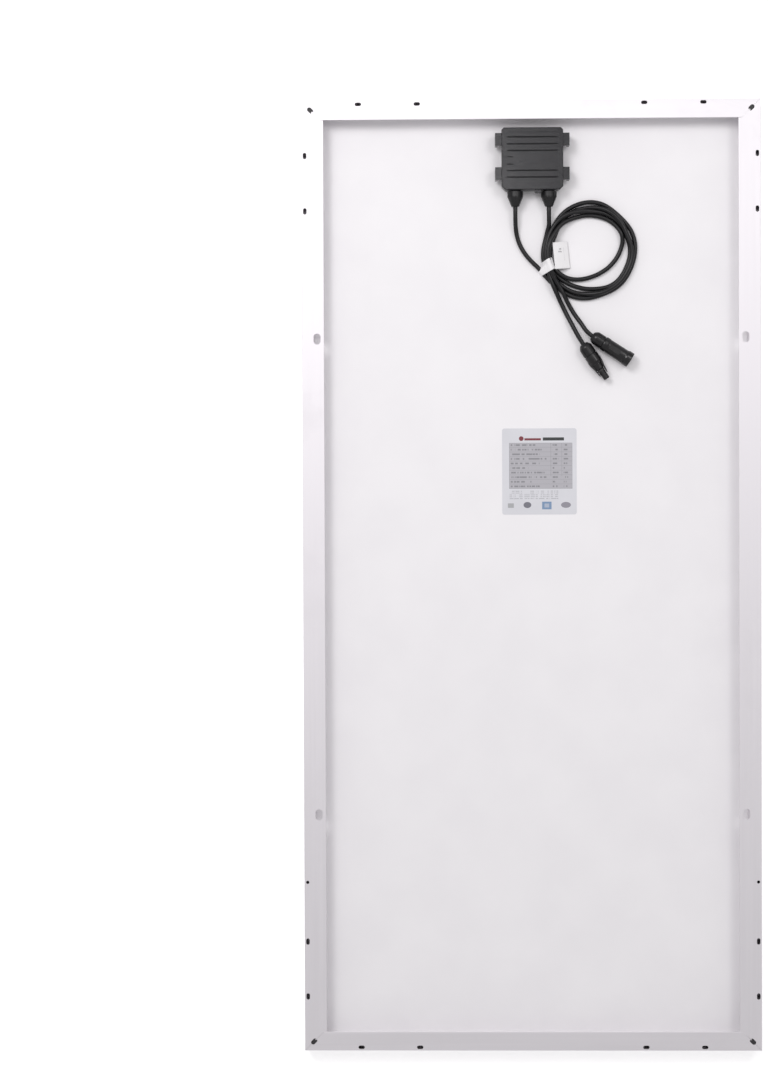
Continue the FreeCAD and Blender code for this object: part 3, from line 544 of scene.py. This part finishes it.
def tinned(name, squeeze, colour=(0.80, 0.79, 0.76)):
    """Dull tin plate with lines along the strip."""
    finish = Finish(name, Metallic=1.0)
    lines = use(finish.tree, DRAWN, Vector=stretch(finish.tree, finish.place, squeeze), Depth=1.0)
    worn = use(finish.tree, WORN, Vector=finish.place, Amount=1.6, Radius=0.0003)["Mask"]
    stain = finish.ranged(finish.clouds(240.0, 4.0, 0.6), 0.45, 0.75, 0.0, 0.5)
    shade = finish.mix(lines["Uneven"], [c * 0.85 for c in colour], colour)
    shade = finish.mix(stain, shade, (0.52, 0.50, 0.46))
    shade = finish.mix(worn, shade, (0.92, 0.91, 0.88))
    finish.set(Base_Color=shade, Roughness=finish.ranged(lines["Uneven"], 0.3, 0.7, 0.26, 0.42) + stain * 0.2)
    return finish.bump(lines["Height"], 0.01 * MM, 0.6).material


def backsheet_film():
    """Satin white film, faintly embossed by the cells and ribbons beneath it."""
    finish = Finish("backsheet_film")
    x, y, _ = finish.axes()
    pitch_x, pitch_y = 184.0, 93.0
    across = (x + pitch_x * 1.5).op("PINGPONG", pitch_x / 2)
    along = y.op("PINGPONG", pitch_y / 2)
    gap = finish.ranged(across, 0.0, 2.2, 1.0, 0.0).either(finish.ranged(along, 0.0, 2.0, 1.0, 0.0))
    ribbons = finish.ranged((x + 276.0).op("PINGPONG", 9.1), 8.2, 9.1, 0.0, 1.0)
    weave = finish.clouds(1400.0, 2.0, 0.5)
    slow = finish.clouds(14.0, 3.0, 0.5)
    height = ribbons * 0.10 - gap * 0.35 + weave * 0.10 + slow * 1.4
    settled = use(finish.tree, DUST, Vector=finish.place, Amount=0.05)["Mask"]
    shade = finish.mix(finish.ranged(slow, 0.35, 0.65, 0.0, 1.0), (0.880, 0.868, 0.884), (0.905, 0.894, 0.908))
    shade = finish.mix(settled, shade, (0.70, 0.68, 0.66))
    finish.set(Base_Color=shade, Roughness=finish.ranged(weave, 0.3, 0.7, 0.46, 0.56), Specular_IOR_Level=0.35)
    return finish.bump(height, 0.06 * MM, 0.5).material


def cable_jacket():
    """Black cross-linked jacket: satin, with drawing marks and a trace of dust on top."""
    finish = Finish("cable_jacket", Specular_IOR_Level=0.35)
    fine = finish.clouds(2400.0, 2.0, 0.5)
    slow = finish.clouds(45.0, 4.0, 0.6)
    settled = use(finish.tree, DUST, Vector=finish.place, Amount=0.04)["Mask"]
    shade = finish.mix(slow, (0.004, 0.004, 0.005), (0.008, 0.008, 0.009))
    shade = finish.mix(settled, shade, (0.40, 0.39, 0.38))
    finish.set(Base_Color=shade, Roughness=finish.ranged(slow, 0.3, 0.7, 0.30, 0.44) + settled * 0.3)
    return finish.bump(fine * 0.4 + slow, 0.02 * MM, 0.6).material


def printed(finish, shade, ink, mask):
    return finish.mix(mask, shade, ink)


LABEL_MIDDLE = (11.2, 133.5)


def label_print():
    """Silver-grey film with a ruled table of plain bars, a heading bar and four plain marks."""
    finish = Finish("label_print", Specular_IOR_Level=0.5)
    x, y, _ = finish.axes()
    x, y = x - LABEL_MIDDLE[0], y - LABEL_MIDDLE[1]
    speck = finish.clouds(600.0, 3.0, 0.6)
    tone = finish.clouds(25.0, 3.0, 0.5)
    shade = finish.mix(tone, (0.64, 0.645, 0.68), (0.74, 0.745, 0.78))
    dark, grey = (0.035, 0.04, 0.04), (0.27, 0.27, 0.29)

    def block(x0, x1, y0, y1):
        return x.inside(x0, x1) * y.inside(y0, y1)

    def disc(cx, cy, rx, ry):
        dx, dy = (x - cx) / rx, (y - cy) / ry
        return (dx * dx + dy * dy) < 1.0

    # heading: a dull red bar and a dark one
    shade = printed(finish, shade, (0.20, 0.035, 0.045), disc(-23.0, 42.0, 3.0, 3.0).either(
        block(-19.0, 2.0, 39.6, 42.4)))
    shade = printed(finish, shade, dark, block(4.5, 31.5, 39.4, 43.4))
    # ruled table
    row = 5.85
    top, bottom, left, right = 36.5, -22.0, -38.5, 42.0
    in_table = block(left, right, bottom, top)
    step = (y - bottom) / row
    rule = step.op("FRACT").inside(-1.0, 0.055)
    column = x.inside(14.4, 14.9).either(x.inside(28.4, 28.8))
    border = in_table - block(left + 0.4, right - 0.4, bottom + 0.4, top - 0.4)
    shade = printed(finish, shade, (0.40, 0.39, 0.42), in_table * 0.8)
    shade = printed(finish, shade, grey, ((rule.either(column * (y > -6.0))) * in_table).either(border) * 0.75)
    # one run of bars a row, each cut to its own length
    number = step.op("FLOOR")
    chance = Value(finish.tree, add(finish.tree, "ShaderNodeTexWhiteNoise", {"noise_dimensions": "1D"},
                                    W=number).outputs[0])
    middle = step.op("FRACT").inside(0.34, 0.70)
    words = add(finish.tree, "ShaderNodeCombineXYZ", X=x * 0.32, Y=number * 7.3)
    broken = Value(finish.tree, add(finish.tree, "ShaderNodeTexNoise", Vector=words.outputs[0], Scale=1.0,
                                    Detail=2.0).outputs[0]) > 0.47
    first = x.inside(left + 2.0, 100.0) * (x < chance * 26.0 - 14.0)
    last = x.inside(17.0, 26.0) * (x < chance * 7.0 + 19.0)
    unit = x.inside(31.0, 38.0) * (x < chance * 3.0 + 34.0)
    bars = (first.either(last).either(unit)) * middle * in_table * broken
    shade = printed(finish, shade, (0.22, 0.22, 0.235), bars * 0.8)
    # small print below, and four marks
    small = (y * 0.42).op("FRACT").inside(0.25, 0.62) * block(left, 24.0, -36.5, -24.5) * broken
    shade = printed(finish, shade, grey, small * 0.6)
    shade = printed(finish, shade, (0.30, 0.31, 0.31), block(-40.3, -32.7, -46.4, -40.6) * 0.7)
    shade = printed(finish, shade, (0.10, 0.10, 0.13), disc(-15.4, -42.8, 5.0, 3.9) * 0.85)
    shade = printed(finish, shade, (0.20, 0.30, 0.46), block(3.4, 15.4, -48.4, -38.6)
                    * (block(6.4, 12.4, -46.0, -41.0) * -0.45 + 1.0))
    shade = printed(finish, shade, (0.25, 0.24, 0.28), disc(33.8, -42.8, 6.3, 3.8) * 0.9)
    finish.set(Base_Color=shade, Roughness=finish.ranged(tone, 0.3, 0.7, 0.36, 0.50))
    return finish.bump(speck, 0.01 * MM, 0.5).material


def wrap_film():
    """White coated film, slightly creased, with greyed edges."""
    finish = Finish("wrap_film", Specular_IOR_Level=0.35)
    slow = finish.clouds(130.0, 4.0, 0.55)
    fine = finish.clouds(1500.0, 2.0, 0.5)
    worn = use(finish.tree, WORN, Vector=finish.place, Amount=0.8, Radius=0.0004)["Mask"]
    shade = finish.mix(slow, (0.86, 0.85, 0.86), (0.93, 0.925, 0.93))
    shade = finish.mix(worn, shade, (0.74, 0.73, 0.73))
    finish.set(Base_Color=shade, Roughness=finish.ranged(slow, 0.3, 0.7, 0.50, 0.66))
    return finish.bump(slow + fine * 0.12, 0.12 * MM, 0.6).material


def flag_paper():
    """White coated paper with two plain printed marks, on the flag's own map."""
    finish = Finish("flag_paper", Specular_IOR_Level=0.3)
    chart = add(finish.tree, "ShaderNodeUVMap", {"uv_map": "flag"}).outputs[0]
    parts = add(finish.tree, "ShaderNodeSeparateXYZ", Vector=chart)
    u, v = Value(finish.tree, parts.outputs[0]), Value(finish.tree, parts.outputs[1])
    fibre = clouds(finish.tree, stretch(finish.tree, finish.place, (900, 500, 900)), 1.0, 4.0, 0.6)
    ragged = finish.clouds(900.0, 2.0, 0.5)
    ink = ranged(finish.tree, ragged, 0.40, 0.55, 0.35, 1.0)
    tall = u.inside(0.32, 0.54) * v.inside(0.61, 0.67).either(v.inside(0.71, 0.77) * (u > 0.38))
    line = u.inside(0.66, 0.70) * v.inside(0.30, 0.80)
    shade = finish.mix(fibre, (0.87, 0.86, 0.865), (0.93, 0.925, 0.93))
    shade = finish.mix(tall * ink * 0.7, shade, (0.16, 0.16, 0.18))
    shade = finish.mix(line * ink * 0.25, shade, (0.30, 0.30, 0.34))
    finish.set(Base_Color=shade, Roughness=finish.ranged(fibre, 0.3, 0.7, 0.55, 0.72))
    return finish.bump(fibre, 0.02 * MM, 0.5).material


def silicon():
    """Blue-black cell with an uneven antireflective coat."""
    finish = Finish("silicon", Coat_Roughness=0.12)
    cloud = finish.clouds(11.0, 4.0, 0.5)
    grain = finish.clouds(5200.0, 2.0, 0.5)
    x, y, _ = finish.axes()
    number = ((x + 276.0) / 184.0).op("FLOOR") * 13.0 + ((y + 558.0) / 93.0).op("FLOOR")
    own = Value(finish.tree, add(finish.tree, "ShaderNodeTexWhiteNoise", {"noise_dimensions": "1D"},
                                 W=number).outputs[0])
    shade = finish.mix(cloud * 0.6 + own * 0.4, (0.006, 0.009, 0.022), (0.014, 0.020, 0.050))
    finish.set(Base_Color=shade, Roughness=finish.ranged(grain, 0.3, 0.7, 0.22, 0.34), Coat_Weight=cloud * 0.3 + 0.1)
    return finish.bump(grain, 0.004 * MM, 0.5).material


def clear_film(name, tint, roughness, grain, depth):
    """Glass or a clear laminated film."""
    finish = Finish(name, Transmission_Weight=1.0, IOR=1.49)
    ripple = finish.clouds(grain, 3.0, 0.5)
    shade = finish.mix(finish.clouds(6.0, 2.0, 0.5), tint, (0.98, 0.99, 0.99))
    finish.set(Base_Color=shade, Roughness=finish.ranged(ripple, 0.3, 0.7, roughness * 0.7, roughness * 1.3))
    return finish.bump(ripple, depth * MM, 0.5).material


def silicone(name, colour):
    """Cured sealant: smooth, slightly wavy, a little greyed."""
    finish = Finish(name, Specular_IOR_Level=0.45)
    wave = finish.clouds(90.0, 4.0, 0.5)
    settled = use(finish.tree, DUST, Vector=finish.place, Amount=0.12)["Mask"]
    shade = finish.mix(wave, [c * 0.9 for c in colour], colour)
    shade = finish.mix(settled, shade, (0.55, 0.53, 0.50))
    finish.set(Base_Color=shade, Roughness=finish.ranged(wave, 0.3, 0.7, 0.30, 0.44))
    return finish.bump(wave, 0.25 * MM, 0.6).material


def diode_epoxy():
    """Black epoxy body with a pale band at one end; the wires beyond it are tinned."""
    finish = Finish("diode_epoxy")
    x, _, _ = finish.axes()
    body_half, middle_x, pitch = 4.25, 2.4, 22.0
    away = (x - middle_x).op("ABSOLUTE") - pitch / 2
    wire = away.op("ABSOLUTE") > body_half
    band = away.inside(1.6, 2.9)
    grain = finish.clouds(1600.0, 2.0, 0.5)
    shade = finish.mix(grain, (0.012, 0.012, 0.013), (0.026, 0.026, 0.028))
    shade = finish.mix(band, shade, (0.62, 0.62, 0.60))
    shade = finish.mix(wire, shade, (0.78, 0.77, 0.74))
    finish.set(Base_Color=shade, Metallic=wire, Roughness=finish.ranged(grain, 0.3, 0.7, 0.30, 0.42))
    return finish.bump(grain, 0.02 * MM, 0.5).material


def stranded():
    """Bright drawn copper wires, tinned."""
    finish = Finish("stranded_wire", Metallic=1.0)
    grain = finish.clouds(2600.0, 3.0, 0.6)
    shade = finish.mix(grain, (0.60, 0.50, 0.42), (0.86, 0.80, 0.72))
    finish.set(Base_Color=shade, Roughness=finish.ranged(grain, 0.3, 0.7, 0.24, 0.38))
    return finish.bump(grain, 0.01 * MM, 0.5).material


CHARCOAL, CHARCOAL_RUBBED = (0.013, 0.013, 0.016), (0.075, 0.075, 0.08)
BLACK, BLACK_RUBBED = (0.006, 0.006, 0.007), (0.045, 0.045, 0.047)
ALONG_Y, ALONG_X = (2600, 26, 2600), (26, 2600, 2600)

box_look = (CHARCOAL, CHARCOAL_RUBBED, 0.22, 2200.0, 0.02, 0.03, 1.6, 0.05, 0.36)
box_plastic = plastic("box_plastic", *box_look).material
gland_plastic = plastic("gland_plastic", BLACK, BLACK_RUBBED, 0.32, 1800.0, 0.02, 0.04, 1.4).material
connector_plastic = plastic("connector_plastic", BLACK, BLACK_RUBBED, 0.34, 2000.0, 0.025, 0.04, 1.4).material
black_nylon = plastic("black_nylon", (0.022, 0.022, 0.024), BLACK_RUBBED, 0.50, 1500.0, 0.03, 0.10, 1.0).material
rubber_look = ((0.020, 0.020, 0.021), (0.05, 0.05, 0.05), 0.66, 2600.0, 0.03, 0.18, 0.5, 0.06)
seal_rubber = plastic("seal_rubber", *rubber_look).material
anodised_long = anodised("anodised_long", ALONG_Y)
anodised_short = anodised("anodised_short", ALONG_X)
jacket = cable_jacket()
strands = stranded()
pale_silicone = silicone("pale_silicone", (0.78, 0.78, 0.77))
NODE_FINISHES = [
    (anodised_long, "long_rail_left", "long_rail_right"),
    (anodised_short, "short_rail_top", "short_rail_bottom"),
    (black_nylon, "corner_keys"),
    (pale_silicone, "edge_sealant", "box_adhesive"),
    (clear_film("panel_glass", (0.90, 0.96, 0.95), 0.06, 700.0, 0.02), "glass_pane"),
    (clear_film("encapsulant_film", (0.95, 0.96, 0.95), 0.12, 300.0, 0.01), "front_encapsulant", "rear_encapsulant"),
    (silicon(), "solar_cells"),
    (tinned("tinned_ribbon_long", (3000, 60, 3000)), "cell_ribbons"),
    (tinned("tinned_ribbon", (400, 400, 3000)), "bus_ribbons", "ribbon_tails"),
    (tinned("tinned_plate", (60, 3000, 3000)), "terminals", "cable_clamps", "clamp_screws"),
    (tinned("plated_contact", (900, 900, 2600), (0.82, 0.80, 0.74)), "socket_contact", "pin_contact"),
    (backsheet_film(), "backsheet"),
    (label_print(), "rating_label"),
    (box_plastic, "box_base", "lid_tab"),
    (lid_plastic("lid_plastic", *box_look), "box_lid"),
    (seal_rubber, "lid_gasket", "gland_seal_left", "gland_seal_right", "socket_connector_seal",
     "pin_connector_seal", "probe_ring"),
    (gland_plastic, "gland_nut_left", "gland_nut_right"),
    (connector_plastic, "socket_connector_body", "socket_connector_nut", "pin_connector_body", "pin_connector_nut"),
    (diode_epoxy(), "bypass_diodes"),
    (jacket, "gland_cable_ends", "socket_cable_end", "pin_cable_end"),
    (strands, "socket_cable_core", "pin_cable_core"),
]


def give(piece, material):
    """One material for the whole piece."""
    piece.data.materials.clear()
    piece.data.materials.append(material)


for material, *names in NODE_FINISHES:
    for name in names:
        give(NODES[name], material)


# ---- pieces that repeat ----
class Recipe:
    """A geometry node tree under way, with named inputs."""

    def __init__(self, name, inputs):
        self.tree = bpy.data.node_groups.new(name, "GeometryNodeTree")
        self.tree.is_modifier = True
        face = self.tree.interface
        face.new_socket(name="Geometry", in_out="INPUT", socket_type="NodeSocketGeometry")
        face.new_socket(name="Geometry", in_out="OUTPUT", socket_type="NodeSocketGeometry")
        kinds = {int: "NodeSocketInt", float: "NodeSocketFloat"}
        self.sizes = {}
        for label, value in inputs.items():
            if isinstance(value, bpy.types.Material):
                made = face.new_socket(name=label, in_out="INPUT", socket_type="NodeSocketMaterial")
            else:
                made = face.new_socket(name=label, in_out="INPUT", socket_type=kinds[type(value)])
            self.sizes[made.identifier] = value
        self.start = self.tree.nodes.new("NodeGroupInput")

    def input(self, label):
        return GeometryValue(self, self.start.outputs[label])

    def node(self, kind, settings=None, **inputs):
        node = self.tree.nodes.new(kind)
        for name, value in (settings or {}).items():
            setattr(node, name, value)
        for name, item in inputs.items():
            self.link(node.inputs[name.replace("_", " ")], item)
        return node

    def link(self, slot, item):
        if isinstance(item, GeometryValue):
            item = item.socket
        if isinstance(item, bpy.types.NodeSocket):
            self.tree.links.new(item, slot)
        else:
            slot.default_value = item

    def vector(self, x=0.0, y=0.0, z=0.0):
        return self.node("ShaderNodeCombineXYZ", X=x, Y=y, Z=z).outputs[0]

    def joined(self, *parts):
        node = self.tree.nodes.new("GeometryNodeJoinGeometry")
        for part in reversed(parts):
            self.tree.links.new(part, node.inputs[0])
        return node.outputs[0]

    def made(self, piece_name, geometry, material_label="Material"):
        """Ends the tree, runs it on an empty mesh and gives the result as a plain piece."""
        real = self.node("GeometryNodeRealizeInstances", Geometry=geometry)
        finish = self.node("GeometryNodeSetMaterial", Geometry=real.outputs[0], Material=self.input(material_label))
        end = self.tree.nodes.new("NodeGroupOutput")
        self.tree.links.new(finish.outputs[0], end.inputs[0])
        piece = bpy.data.objects.new(piece_name, bpy.data.meshes.new(piece_name))
        bpy.context.scene.collection.objects.link(piece)
        modifier = piece.modifiers.new(piece_name, "NODES")
        modifier.node_group = self.tree
        for identifier, value in self.sizes.items():
            modifier[identifier] = value
        return finished(piece)


class GeometryValue(Value):
    """A number in a geometry node tree."""

    def __init__(self, recipe, socket):
        super().__init__(recipe.tree, socket)
        self.recipe = recipe

    def op(self, operation, *others):
        node = self.tree.nodes.new("ShaderNodeMath")
        node.operation = operation
        for slot, item in zip(node.inputs, (self, *others)):
            self.recipe.link(slot, item)
        return GeometryValue(self.recipe, node.outputs[0])


def cell_fingers():
    """The fine silver lines printed across the cells' faces, shorter where a cell's corners are bevelled."""
    silver = tinned("printed_silver", (60, 3000, 3000), (0.86, 0.86, 0.84))
    recipe = Recipe("finger_grid", {
        "Columns": 3, "Rows": 12, "Column Pitch": 0.184, "Row Pitch": 0.093, "Lines": 56, "Short Lines": 5,
        "Line Pitch": 0.00148, "Line Length": 0.179, "Short Length": 0.168, "Line Width": 0.00012,
        "Line Height": 0.00002, "Level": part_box("solar_cells")[0].z - 0.00002, "Material": silver})
    given = recipe.input
    lines, pitch = given("Lines"), given("Line Pitch")

    def rank(count, first_y, length):
        """A column of lines, the first one at first_y."""
        bar = recipe.node("GeometryNodeMeshCube", Size=recipe.vector(length, given("Line Width"), given("Line Height")))
        row = recipe.node("GeometryNodeMeshLine", Count=count, Start_Location=recipe.vector(0.0, first_y, 0.0),
                          Offset=recipe.vector(0.0, pitch, 0.0))
        return recipe.node("GeometryNodeInstanceOnPoints", Points=row.outputs[0], Instance=bar.outputs[0]).outputs[0]

    lowest = (lines + given("Short Lines") - 1.0) * pitch * -0.5
    face = recipe.joined(rank(lines, lowest, given("Line Length")),
                         rank(given("Short Lines"), lowest + lines * pitch, given("Short Length")))
    grid = recipe.node("GeometryNodeMeshGrid", Vertices_X=given("Columns"), Vertices_Y=given("Rows"),
                       Size_X=(given("Columns") - 1.0) * given("Column Pitch"),
                       Size_Y=(given("Rows") - 1.0) * given("Row Pitch"))
    spot = recipe.node("ShaderNodeSeparateXYZ", Vector=recipe.node("GeometryNodeInputPosition").outputs[0])
    row = GeometryValue(recipe, spot.outputs[1]) / given("Row Pitch") + given("Rows") * 0.5
    flipped = (row.op("FLOOR").op("MODULO", 2.0) * -1.0 + 1.0) * math.pi
    cells = recipe.node("GeometryNodeInstanceOnPoints", Points=grid.outputs[0], Instance=face,
                        Rotation=recipe.vector(0.0, 0.0, flipped))
    raised = recipe.node("GeometryNodeTransform", Geometry=cells.outputs[0],
                         Translation=recipe.vector(0.0, 0.0, given("Level")))
    return recipe.made("cell_fingers", raised.outputs[0])


def core_strands():
    """Two bared cores inside the box: nineteen wires each, twisted along the core."""
    low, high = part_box("gland_cable_cores")
    radius = (high.z - low.z) / 2
    spread = (high.x - low.x) / 2 - radius
    recipe = Recipe("twisted_core", {
        "Length": high.y - low.y, "Wire Radius": radius / 5.0, "Inner Wires": 6, "Outer Wires": 12, "Twist": 2.6,
        "Spread": spread, "Material": strands})
    given = recipe.input
    wire = recipe.node("GeometryNodeCurvePrimitiveCircle", {"mode": "RADIUS"}, Resolution=8,
                       Radius=given("Wire Radius"))

    def layer(count, radius_in_wires):
        ring = recipe.node("GeometryNodeCurvePrimitiveCircle", {"mode": "RADIUS"}, Resolution=count,
                           Radius=given("Wire Radius") * radius_in_wires)
        return recipe.node("GeometryNodeInstanceOnPoints", Points=ring.outputs[0],
                           Instance=wire.outputs[0]).outputs[0]

    section = recipe.joined(wire.outputs[0], layer(given("Inner Wires"), 2.0), layer(given("Outer Wires"), 4.0))
    section = recipe.node("GeometryNodeRealizeInstances", Geometry=section).outputs[0]
    line = recipe.node("GeometryNodeCurvePrimitiveLine", Start=(0, 0, 0), End=recipe.vector(0.0, given("Length"), 0.0))
    line = recipe.node("GeometryNodeResampleCurve", Curve=line.outputs[0], Count=40)
    share = recipe.node("GeometryNodeSplineParameter").outputs[0]
    tilt = GeometryValue(recipe, share) * given("Twist")
    line = recipe.node("GeometryNodeSetCurveTilt", Curve=line.outputs[0], Tilt=tilt)
    core = recipe.node("GeometryNodeCurveToMesh", Curve=line.outputs[0], Profile_Curve=section, Fill_Caps=True)
    shifts = [recipe.vector(given("Spread") * side, 0.0, 0.0) for side in (-1.0, 1.0)]
    sides = [recipe.node("GeometryNodeTransform", Geometry=core.outputs[0], Translation=shift).outputs[0]
             for shift in shifts]
    placed = recipe.node("GeometryNodeTransform", Geometry=recipe.joined(*sides),
                         Translation=((low.x + high.x) / 2, low.y, (low.z + high.z) / 2))
    return recipe.made("core_strands", placed.outputs[0])


wrap = bundle_wrap()
give(wrap, wrap_film())
flag = wrap_flag()
give(flag, flag_paper())
fingers = cell_fingers()
cores = core_strands()
for cable in (left_cable, right_cable):
    give(cable, jacket)


# ---- what each piece rides on and replaces, with what each is listed alongside ----
def declare():
    for piece, slot, replaced in ((left_cable, "cable_jacket", ("lead_cable_left", "tail_cable_left", "cable_coil")),
                                  (right_cable, "cable_jacket", ("lead_cable_right", "tail_cable_right")),
                                  (wrap, "white_wrap", ("cable_tie",)), (flag, "white_wrap", ("cable_tag",)),
                                  (cores, "tinned_copper", ("gland_cable_cores",)), (fingers, "tinned_copper", ())):
        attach(piece, "panel")
        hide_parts(*replaced)
    for piece, tag, start, length, others in (
            (left_cable, "socket", LEFT_LEAD[0], 0.90, [wrap, flag, NODES["probe_ring"]]),
            (right_cable, "pin", RIGHT_LEAD[0], 0.80, [])):
        on_it = [NODES[f"{tag}_{part}"] for part in ("connector_body", "connector_nut", "connector_seal", "contact",
                                                     "cable_end", "cable_core")]
        [v * MM for v in start]
        on_it + others


declare()
